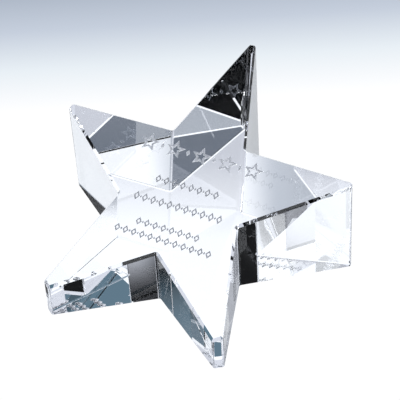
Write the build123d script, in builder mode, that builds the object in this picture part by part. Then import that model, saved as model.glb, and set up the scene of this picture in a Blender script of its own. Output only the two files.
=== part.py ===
from build123d import *
import math
import os

# A desk award: a five-pointed star cut from one block of clear optical crystal. It lies on its flat
# bottom, its walls are vertical and its polished top face slopes from the tall point down to the two
# low points. Five rows of frosted etching run across the sloping face.
#
# Frame: the origin is on the table under the star's centre, +Y points at the tall point, +Z is up.
# Millimetres and degrees.

# The star's outline
arm_count = 5
point_radius = 56.5     # centre to where the two walls of an arm would meet in a sharp point
flat_radius = 53.5      # centre to the narrow flat ground on each of the three upper points
low_flat_radius = 51.6  # the same for the two low points, which are ground back further
notch_radius = 22.3     # centre to the corner between two arms
notch_round = 0.9       # radius of the polishing wheel's round in each of those corners
point_round = 0.9       # radius of the round on both corners of each point's flat

# The sloping top face
centre_height = 29.6    # bottom to the top face, over the star's centre
slope = 21.2            # tilt of the top face, rising towards the tall point

# The polished bevels
top_bevel = 0.75        # around the top face
base_bevel = 0.4        # around the bottom

# The etching
etch_depth = 0.35

# The large row: outlined stars with a lozenge between each two
star_row_height_on_face = 12.6  # distance up the sloping face, from over the star's centre
small_star_count = 5
small_star_radius = 3.4
small_star_notch = 1.55
small_star_pitch = 9.3
small_star_stroke = 0.62
spacer_width = 1.3
spacer_height = 2.2

# The four small rows: hollow lozenges with a small solid one between each two.
# Each row: distance up the face, number of lozenges, height of a lozenge
bands = {
    "etched_band_1": (1.0, 8, 3.1),
    "etched_band_2": (-6.7, 11, 3.3),
    "etched_band_3": (-15.0, 8, 2.9),
    "etched_band_4": (-19.1, 12, 2.9),
}
lozenge_pitch = 2.95
lozenge_width = 2.0
lozenge_stroke = 0.42
bead_width = 0.62
bead_height = 1.1

# Worked out from the dimensions above
half_step = 180 / arm_count
block_height = centre_height + point_radius * math.tan(math.radians(slope))

top_plane = Plane(
    origin=(0, 0, centre_height),
    x_dir=(1, 0, 0),
    z_dir=(0, -math.sin(math.radians(slope)), math.cos(math.radians(slope))),
)


def row_plane(distance_up):
    """The top face's plane, with its origin moved up the slope on the star's centre line."""
    return Plane(
        origin=top_plane.from_local_coords((0, distance_up, 0)),
        x_dir=top_plane.x_dir,
        z_dir=top_plane.z_dir,
    )


def star_corners(outer, inner):
    """Corners of a five-pointed star with one point on the +Y axis, anticlockwise."""
    corners = []
    for step in range(2 * arm_count):
        radius = outer if step % 2 == 0 else inner
        angle = math.radians(90 + step * half_step)
        corners.append((radius * math.cos(angle), radius * math.sin(angle)))
    return corners


def lozenge_corners(width, height):
    """Corners of a lozenge that stands on its point."""
    return [(width / 2, 0), (0, height / 2), (-width / 2, 0), (0, -height / 2)]


def spread(count, pitch):
    """Places of `count` things in a row with the row's middle at zero."""
    return [((place - (count - 1) / 2) * pitch, 0) for place in range(count)]


# Large row of etching
with BuildSketch() as small_star:
    Polygon(*star_corners(small_star_radius, small_star_notch), align=None)
    offset(amount=-small_star_stroke, kind=Kind.INTERSECTION, mode=Mode.SUBTRACT)

with BuildSketch() as spacer:
    Polygon(*lozenge_corners(spacer_width, spacer_height), align=None)

with BuildSketch(row_plane(star_row_height_on_face)) as star_row_outline:
    with Locations(*spread(small_star_count, small_star_pitch)):
        add(small_star.sketch)
    with Locations(*spread(small_star_count - 1, small_star_pitch)):
        add(spacer.sketch)

etching = {"etched_star_row": star_row_outline.sketch}

# Small rows of etching
with BuildSketch() as bead:
    Polygon(*lozenge_corners(bead_width, bead_height), align=None)

for band_name, (distance_up, lozenge_count, lozenge_height) in bands.items():
    with BuildSketch() as lozenge:
        Polygon(*lozenge_corners(lozenge_width, lozenge_height), align=None)
        offset(amount=-lozenge_stroke, kind=Kind.INTERSECTION, mode=Mode.SUBTRACT)

    with BuildSketch(row_plane(distance_up)) as band_outline:
        with Locations(*spread(lozenge_count, lozenge_pitch)):
            add(lozenge.sketch)
        with Locations(*spread(lozenge_count - 1, lozenge_pitch)):
            add(bead.sketch)

    etching[band_name] = band_outline.sketch

# The crystal block
with BuildPart() as crystal_star:
    with BuildSketch(Plane.XY):
        Polygon(*star_corners(point_radius, notch_radius), align=None)
        # The five sides of this pentagon are the flats on the points
        RegularPolygon(
            radius=flat_radius,
            side_count=arm_count,
            major_radius=False,
            rotation=-half_step / 2,
            mode=Mode.INTERSECT,
        )
        # The two low points are ground back to flats of their own
        with PolarLocations(low_flat_radius, 2, start_angle=90 + 4 * half_step, angular_range=4 * half_step):
            Rectangle(
                point_radius - low_flat_radius,
                notch_radius,
                align=(Align.MIN, Align.CENTER),
                mode=Mode.SUBTRACT,
            )
    extrude(amount=block_height)
    split(bisect_by=top_plane, keep=Keep.BOTTOM)

    notch_edges = crystal_star.edges().filter_by(Axis.Z).sort_by_distance((0, 0, 0))[:arm_count]
    fillet(notch_edges, radius=notch_round)
    point_edges = crystal_star.edges().filter_by(Axis.Z).sort_by_distance((0, 0, 0))[-2 * arm_count:]
    fillet(point_edges, radius=point_round)

    top_face = crystal_star.faces().sort_by(Axis.Z)[-1]
    base_face = crystal_star.faces().sort_by(Axis.Z)[0]
    chamfer(top_face.edges(), length=top_bevel)
    chamfer(base_face.edges(), length=base_bevel)

    for outline in etching.values():
        extrude(outline, amount=-etch_depth, mode=Mode.SUBTRACT)

os.makedirs("parts", exist_ok=True)
crystal_star.part.label = "crystal_star"
export_step(crystal_star.part, "parts/crystal_star.step")

# The frosted inlays, which fill the recesses flush with the sloping face
for inlay_name, outline in etching.items():
    with BuildPart() as inlay:
        extrude(outline, amount=-etch_depth)
    inlay.part.label = inlay_name
    export_step(inlay.part, f"parts/{inlay_name}.step")
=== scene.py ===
import math

import bmesh
import bpy
from mathutils import Matrix, Vector


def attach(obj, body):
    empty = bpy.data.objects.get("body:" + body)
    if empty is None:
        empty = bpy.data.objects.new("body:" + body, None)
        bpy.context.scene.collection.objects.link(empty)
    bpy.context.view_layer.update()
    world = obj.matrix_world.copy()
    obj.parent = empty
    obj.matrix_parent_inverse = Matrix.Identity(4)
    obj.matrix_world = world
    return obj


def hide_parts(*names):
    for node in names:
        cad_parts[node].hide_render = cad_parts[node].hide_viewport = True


# A clear crystal star lying on a pale table in a studio. Metres and degrees.

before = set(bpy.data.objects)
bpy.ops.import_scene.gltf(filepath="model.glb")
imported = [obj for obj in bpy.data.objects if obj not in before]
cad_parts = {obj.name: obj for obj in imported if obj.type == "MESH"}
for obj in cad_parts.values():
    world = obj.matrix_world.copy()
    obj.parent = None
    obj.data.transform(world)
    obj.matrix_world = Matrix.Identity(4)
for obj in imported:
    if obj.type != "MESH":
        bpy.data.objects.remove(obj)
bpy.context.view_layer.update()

MM = 0.001
BODY = "root"
LARGE_ROW = "etched_star_row"
ETCHED_ROWS = (LARGE_ROW, "etched_band_1", "etched_band_2", "etched_band_3", "etched_band_4")

# The sloping top face: its height over the star's centre and its tilt
TOP_CENTRE = Vector((0, 0, 29.6 * MM))
TOP_SLOPE = math.radians(21.2)
TOP_NORMAL = Vector((0, -math.sin(TOP_SLOPE), math.cos(TOP_SLOPE)))

GLASS_IOR = 1.52

# The camera: a long lens, high in front of the star and to its right
CAMERA_TARGET = Vector((1.5, 6.4, 20.0)) * MM
CAMERA_AZIMUTH = 28.3
CAMERA_ELEVATION = 43.1
CAMERA_ROLL = -3.7
CAMERA_DISTANCE = 0.571
CAMERA_LENS = 156.7


# ---------------------------------------------------------------- small helpers

def depth_under_top(point):
    """How far a point lies below the plane of the sloping top face."""
    return (TOP_CENTRE - point).dot(TOP_NORMAL)


def link(obj):
    bpy.context.scene.collection.objects.link(obj)
    return obj


class Nodes:
    """Short-hand for wiring a node tree."""

    def __init__(self, tree):
        self.tree = tree
        tree.nodes.clear()

    def add(self, kind, **settings):
        node = self.tree.nodes.new(kind)
        for name, value in settings.items():
            setattr(node, name, value)
        return node

    def wire(self, source, target):
        self.tree.links.new(source, target)

    def feed(self, value, socket):
        """A number or colour is set on the socket, an output is wired to it."""
        if isinstance(value, bpy.types.NodeSocket):
            self.wire(value, socket)
        else:
            socket.default_value = value

    def math(self, operation, first, second=0.0):
        node = self.add("ShaderNodeMath", operation=operation)
        self.feed(first, node.inputs[0])
        self.feed(second, node.inputs[1])
        return node.outputs[0]

    def step(self, value, low, high):
        """0 below low, 1 above high, smooth between."""
        node = self.add("ShaderNodeMapRange", interpolation_type="SMOOTHSTEP")
        self.feed(value, node.inputs["Value"])
        node.inputs["From Min"].default_value = low
        node.inputs["From Max"].default_value = high
        return node.outputs["Result"]

    def mix(self, share, first, second):
        node = self.add("ShaderNodeMix", data_type="RGBA")
        self.feed(share, node.inputs["Factor"])
        self.feed(first, node.inputs["A"])
        self.feed(second, node.inputs["B"])
        return node.outputs["Result"]

    def noise(self, scale, detail):
        """Noise that is fixed to the object's own shape."""
        node = self.add("ShaderNodeTexNoise")
        self.wire(self.add("ShaderNodeTexCoord").outputs["Object"], node.inputs["Vector"])
        node.inputs["Scale"].default_value = scale
        node.inputs["Detail"].default_value = detail
        return node.outputs["Fac"]

    def ramp(self, value, stops):
        """A colour ramp over stops of (place, colour)."""
        node = self.add("ShaderNodeValToRGB")
        self.feed(value, node.inputs["Fac"])
        elements = node.color_ramp.elements
        while len(elements) < len(stops):
            elements.new(0.5)
        for element, (place, colour) in zip(elements, stops):
            element.position = place
            element.color = colour
        return node.outputs["Color"]

    def surface(self, shader):
        out = self.add("ShaderNodeOutputMaterial")
        self.wire(shader, out.inputs["Surface"])


def rgb(red, green, blue):
    return (red, green, blue, 1.0)


def tone(red, green, blue, strength=1.0):
    """A screen colour, 0 to 255, turned by the sRGB curve into the linear light the renderer uses."""
    linear = [strength * ((part / 255 + 0.055) / 1.055) ** 2.4 for part in (red, green, blue)]
    return tuple(linear) + (1.0,)


# ---------------------------------------------------------------- materials

def new_material(name):
    material = bpy.data.materials.new(name)
    material.use_nodes = True
    return material, Nodes(material.node_tree)


def polished_crystal():
    """Clear optical crystal; a faint blue cast drifts through the block."""
    material, n = new_material("polished_crystal")
    cast = n.noise(scale=60.0, detail=1.0)
    shader = n.add("ShaderNodeBsdfPrincipled")
    tint = n.ramp(cast, [(0.3, rgb(0.985, 0.993, 1.0)), (0.7, rgb(1.0, 1.0, 1.0))])
    n.wire(tint, shader.inputs["Base Color"])
    shader.inputs["Roughness"].default_value = 0.0
    shader.inputs["IOR"].default_value = GLASS_IOR
    shader.inputs["Transmission Weight"].default_value = 1.0
    n.surface(shader.outputs["BSDF"])
    return material


def etched_glass():
    """The sand-etched skin of the recesses: the same crystal, roughened."""
    material, n = new_material("etched_glass")
    grain = n.noise(scale=4000.0, detail=3.0)
    shader = n.add("ShaderNodeBsdfPrincipled")
    shader.inputs["Base Color"].default_value = rgb(0.96, 0.97, 1.0)
    roughness = n.add("ShaderNodeMapRange")
    n.wire(grain, roughness.inputs["Value"])
    roughness.inputs["To Min"].default_value = 0.12
    roughness.inputs["To Max"].default_value = 0.48
    n.wire(roughness.outputs["Result"], shader.inputs["Roughness"])
    shader.inputs["IOR"].default_value = GLASS_IOR
    shader.inputs["Transmission Weight"].default_value = 1.0
    n.surface(shader.outputs["BSDF"])
    return material


def frost(name, dark, light):
    """The powdery skin of the etching itself, thin enough to see through; its grey is partly its own
    tone, varying at random, and partly painted light and shade, set per row.
    """
    material, n = new_material(name)
    grain = n.noise(scale=2500.0, detail=4.0)
    shader = n.add("ShaderNodeBsdfPrincipled")
    colour = n.ramp(grain, [(0.3, dark), (0.7, light)])
    n.wire(colour, shader.inputs["Base Color"])
    shader.inputs["Roughness"].default_value = 0.8
    shader.inputs["Alpha"].default_value = 0.5
    bump = n.add("ShaderNodeBump")
    bump.inputs["Strength"].default_value = 0.5
    bump.inputs["Distance"].default_value = 0.05 * MM
    n.wire(grain, bump.inputs["Height"])
    n.wire(bump.outputs["Normal"], shader.inputs["Normal"])
    n.surface(shader.outputs["BSDF"])
    return material


# ---------------------------------------------------------------- the crystal

# Vertices closer than this are one, and an edge that turns by less than this is shaded smooth
WELD = 0.001 * MM
SMOOTH_UNDER = math.radians(26)

# A recess is 0.35 mm deep; its faces reach deeper than the least depth, and lie within the radius
RECESS_FLOOR = 0.35 * MM
RECESS_MARGIN = 0.02 * MM
RECESS_LEAST_DEPTH = 0.1 * MM
ETCHED_RADIUS = 30 * MM

# How far the frost is drawn in from the walls of its recess
FROST_DRAW_IN = 0.03 * MM

# The rounded corners between the arms
NOTCH_RADIUS = 22.3 * MM
NOTCH_REACH = 2 * MM
NOTCH_ANGLES = (54, 126, 198, 270, 342)
NOTCHES = [
    Vector((math.cos(math.radians(angle)), math.sin(math.radians(angle)))) * NOTCH_RADIUS
    for angle in NOTCH_ANGLES
]


def inside_recess(face):
    """True for the floor and the walls of an etched recess."""
    deepest = max(depth_under_top(v.co) for v in face.verts)
    radius = face.calc_center_median().xy.length
    return RECESS_LEAST_DEPTH < deepest < RECESS_FLOOR + RECESS_MARGIN and radius < ETCHED_RADIUS


def in_notch(face):
    """True for the narrow rounded strips in the corner between two arms; the rest is flat shaded."""
    return any(
        all((v.co.xy - notch).length < NOTCH_REACH for v in face.verts)
        for notch in NOTCHES
    )


def crystal_body():
    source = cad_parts["crystal_star"].data
    mesh = bpy.data.meshes.new("crystal_body")
    body = bmesh.new()
    body.from_mesh(source)
    bmesh.ops.remove_doubles(body, verts=body.verts, dist=WELD)
    body.normal_update()
    for face in body.faces:
        face.smooth = in_notch(face)
        face.material_index = 1 if inside_recess(face) else 0
    for edge in body.edges:
        edge.smooth = edge.calc_face_angle(0) < SMOOTH_UNDER
    body.to_mesh(mesh)
    body.free()
    piece = link(bpy.data.objects.new("crystal_body", mesh))
    mesh.materials.append(polished_crystal())
    mesh.materials.append(etched_glass())
    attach(piece, BODY)
    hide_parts("crystal_star")


def etched_rows():
    """Each row's frost: the inlay drawn in a little, so that it touches no wall of its recess."""
    # The frost's grey is painted: the large row's frost is painted lighter as painted light, and the
    # fine rows' frost is painted dark grey as painted shade.
    broad = frost("etched_frost_broad_painted_light", rgb(0.5, 0.52, 0.57), rgb(0.72, 0.74, 0.79))
    fine = frost("etched_frost_fine_painted_shade", rgb(0.14, 0.15, 0.18), rgb(0.3, 0.31, 0.35))
    for row in ETCHED_ROWS:
        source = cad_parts[row].data
        mesh = bpy.data.meshes.new(row + "_frost")
        inlay = bmesh.new()
        inlay.from_mesh(source)
        bmesh.ops.remove_doubles(inlay, verts=inlay.verts, dist=WELD)
        inlay.normal_update()
        for vert in inlay.verts:
            vert.co -= vert.normal * FROST_DRAW_IN
        for face in inlay.faces:
            face.smooth = False
        inlay.to_mesh(mesh)
        inlay.free()
        mesh.materials.append(broad if row == LARGE_ROW else fine)
        piece = link(bpy.data.objects.new(row + "_frost", mesh))
        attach(piece, BODY)
        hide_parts(row)


# ---------------------------------------------------------------- the studio

# Clear crystal shows only its surroundings, so it gets what a glass photographer sets up: a white
# table, pale walls, a dark ceiling, and broad plain boards. The tones are as they look through the
# crystal, so they are brightened by what its surfaces take away.
THROUGH = 1.2
TABLE_STRENGTH = 1.25
LAMP_STRENGTH = 10.0

WHITE = tone(245, 249, 255, TABLE_STRENGTH)
PALE = tone(205, 209, 220, THROUGH)
LIGHT_GREY = tone(178, 185, 196, THROUGH)
GREY = tone(112, 120, 133, THROUGH)
COOL = tone(88, 112, 128, THROUGH)
BLACK = tone(2, 3, 5, THROUGH)
LAMP = tone(250, 252, 255, LAMP_STRENGTH)

# What stands round the star, by elevation: the white table, a band of cool grey at its edge, the
# pale walls, the dark ceiling and the one soft lamp right overhead, which lights the frost
ROOM = [
    (-90, WHITE),
    (-26, WHITE),
    (-21, PALE),
    (-16, PALE),
    (-15, COOL),
    (-10, COOL),
    (-9, PALE),
    (30, PALE),
    (36, BLACK),
    (74, BLACK),
    (76, LAMP),
    (90, LAMP),
]

# The boards: middle azimuth (from +Y towards +X), half width, elevation from and to, tone
BOARDS = [
    # low boards at the edge of the table
    (180, 22, -25, -19, LIGHT_GREY),
    (-140, 18, -26, -19, WHITE),
    (180, 48, -19, -10, BLACK),
    (55, 20, -24, -16, GREY),
    (-85, 17, -21, -16, LIGHT_GREY),
    (-50, 10, -18, -5, WHITE),
    # a black cloth on the table, in front of the star
    (180, 34, -60, -31, BLACK),
    # the dark room behind the camera
    (180, 45, 15, 34, BLACK),
    # high boards
    (-95, 30, 40, 60, PALE),
    (-140, 14, 35, 45, PALE),
    (10, 25, 46, 60, COOL),
]
BOARD_EDGE = 1.0

# A polarising filter leaves only this share of what the crystal mirrors on its outside
FILTER = 0.15


def on_boards(n, azimuth, elevation, base):
    """Lays the boards over the room, each a patch of azimuth and elevation with soft edges."""
    for middle, half_width, low, high, colour in BOARDS:
        # The angle from the board's middle, wrapped to between -180 and 180
        aside = n.add("ShaderNodeMath", operation="WRAP")
        n.feed(n.math("SUBTRACT", azimuth, float(middle)), aside.inputs[0])
        aside.inputs[1].default_value = 180.0
        aside.inputs[2].default_value = -180.0
        distance = n.math("ABSOLUTE", aside.outputs["Value"])
        across = n.step(distance, half_width + BOARD_EDGE, half_width - BOARD_EDGE)
        up = n.math("MULTIPLY", n.step(elevation, low - BOARD_EDGE, low + BOARD_EDGE),
                    n.step(elevation, high + BOARD_EDGE, high - BOARD_EDGE))
        base = n.mix(n.math("MULTIPLY", across, up), base, colour)
    return base


def studio_world():
    world = bpy.data.worlds.new("studio")
    bpy.context.scene.world = world
    world.use_nodes = True
    n = Nodes(world.node_tree)
    direction = n.add("ShaderNodeSeparateXYZ")
    n.wire(n.add("ShaderNodeTexCoord").outputs["Generated"], direction.inputs["Vector"])
    elevation = n.math("DEGREES", n.math("ARCSINE", direction.outputs["Z"]))
    azimuth = n.math("DEGREES", n.math("ARCTAN2", direction.outputs["X"], direction.outputs["Y"]))
    share = n.math("DIVIDE", n.math("ADD", elevation, 90.0), 180.0)
    room = n.ramp(share, [((angle + 90) / 180, colour) for angle, colour in ROOM])
    colour = on_boards(n, azimuth, elevation, room)
    rays = n.add("ShaderNodeLightPath")
    colour = n.mix(rays.outputs["Is Camera Ray"], colour, BACKDROP)
    background = n.add("ShaderNodeBackground")
    n.wire(colour, background.inputs["Color"])
    taken_away = n.math("MULTIPLY", rays.outputs["Is Reflection Ray"], 1.0 - FILTER)
    n.wire(n.math("SUBTRACT", 1.0, taken_away), background.inputs["Strength"])
    out = n.add("ShaderNodeOutputWorld")
    n.wire(background.outputs["Background"], out.inputs["Surface"])


# The table's painted light: the plane glows white round the star and falls into painted shade behind
# it. Each stop is a distance behind the star's centre, as seen in the photographed view, and the tone
# there.
BACKDROP = tone(173, 183, 198)
TABLE_PAINTED_LIGHT = [
    (0.078, tone(253, 253, 254, 1.04)),
    (0.104, tone(233, 240, 246)),
    (0.128, tone(198, 207, 221)),
    (0.152, BACKDROP),
]
TABLE_REACH = 3.0
TABLE_DROP = 0.05 * MM


def table():
    mesh = bpy.data.meshes.new("table_top")
    corners = [(-TABLE_REACH, -TABLE_REACH), (TABLE_REACH, -TABLE_REACH),
               (TABLE_REACH, TABLE_REACH), (-TABLE_REACH, TABLE_REACH)]
    mesh.from_pydata([(x, y, 0.0) for x, y in corners], [], [(0, 1, 2, 3)])
    top = link(bpy.data.objects.new("table_top", mesh))
    top.location.z = -TABLE_DROP
    # Turned so that its depth runs straight away from the photographed view
    top.rotation_euler.z = math.radians(CAMERA_AZIMUTH)
    material, n = new_material("pale_table")
    place = n.add("ShaderNodeSeparateXYZ")
    n.wire(n.add("ShaderNodeTexCoord").outputs["Object"], place.inputs["Vector"])
    near = TABLE_PAINTED_LIGHT[0][0]
    depth = TABLE_PAINTED_LIGHT[-1][0] - near
    share = n.math("DIVIDE", n.math("SUBTRACT", place.outputs["Y"], near), depth)
    # The table glows though it is no lamp: its white round the star is painted light, and its fall
    # behind the star is painted shade.
    emission = n.add("ShaderNodeEmission")
    shade = n.ramp(share, [((at - near) / depth, colour) for at, colour in TABLE_PAINTED_LIGHT])
    n.wire(shade, emission.inputs["Color"])
    n.surface(emission.outputs["Emission"])
    mesh.materials.append(material)
    # Only the camera sees this plane: the crystal sees the white table of the studio world
    top.visible_diffuse = False
    top.visible_glossy = False
    top.visible_transmission = False
    top.visible_shadow = False


def camera():
    data = bpy.data.cameras.new("camera")
    data.lens = CAMERA_LENS
    data.sensor_width = 36.0
    data.clip_end = 20.0
    view = link(bpy.data.objects.new("camera", data))
    azimuth = math.radians(CAMERA_AZIMUTH)
    elevation = math.radians(CAMERA_ELEVATION)
    away = Vector((
        math.sin(azimuth) * math.cos(elevation),
        -math.cos(azimuth) * math.cos(elevation),
        math.sin(elevation),
    ))
    facing = away.to_track_quat("Z", "Y").to_matrix().to_4x4()
    roll = Matrix.Rotation(math.radians(CAMERA_ROLL), 4, "Z")
    view.matrix_world = Matrix.Translation(CAMERA_TARGET + away * CAMERA_DISTANCE) @ facing @ roll
    bpy.context.scene.camera = view


# Light crosses the block many times before it leaves, and passes through the frost on the way
CRYSTAL_BOUNCES = 24
FROST_BOUNCES = 16


def light_paths():
    cycles = bpy.context.scene.cycles
    cycles.max_bounces = CRYSTAL_BOUNCES
    cycles.transmission_bounces = CRYSTAL_BOUNCES
    cycles.glossy_bounces = CRYSTAL_BOUNCES
    cycles.transparent_max_bounces = FROST_BOUNCES
    cycles.caustics_reflective = True
    cycles.caustics_refractive = True
    cycles.blur_glossy = 0.0
    bpy.context.scene.view_settings.view_transform = "Standard"


crystal_body()
etched_rows()
studio_world()
table()
camera()
light_paths()
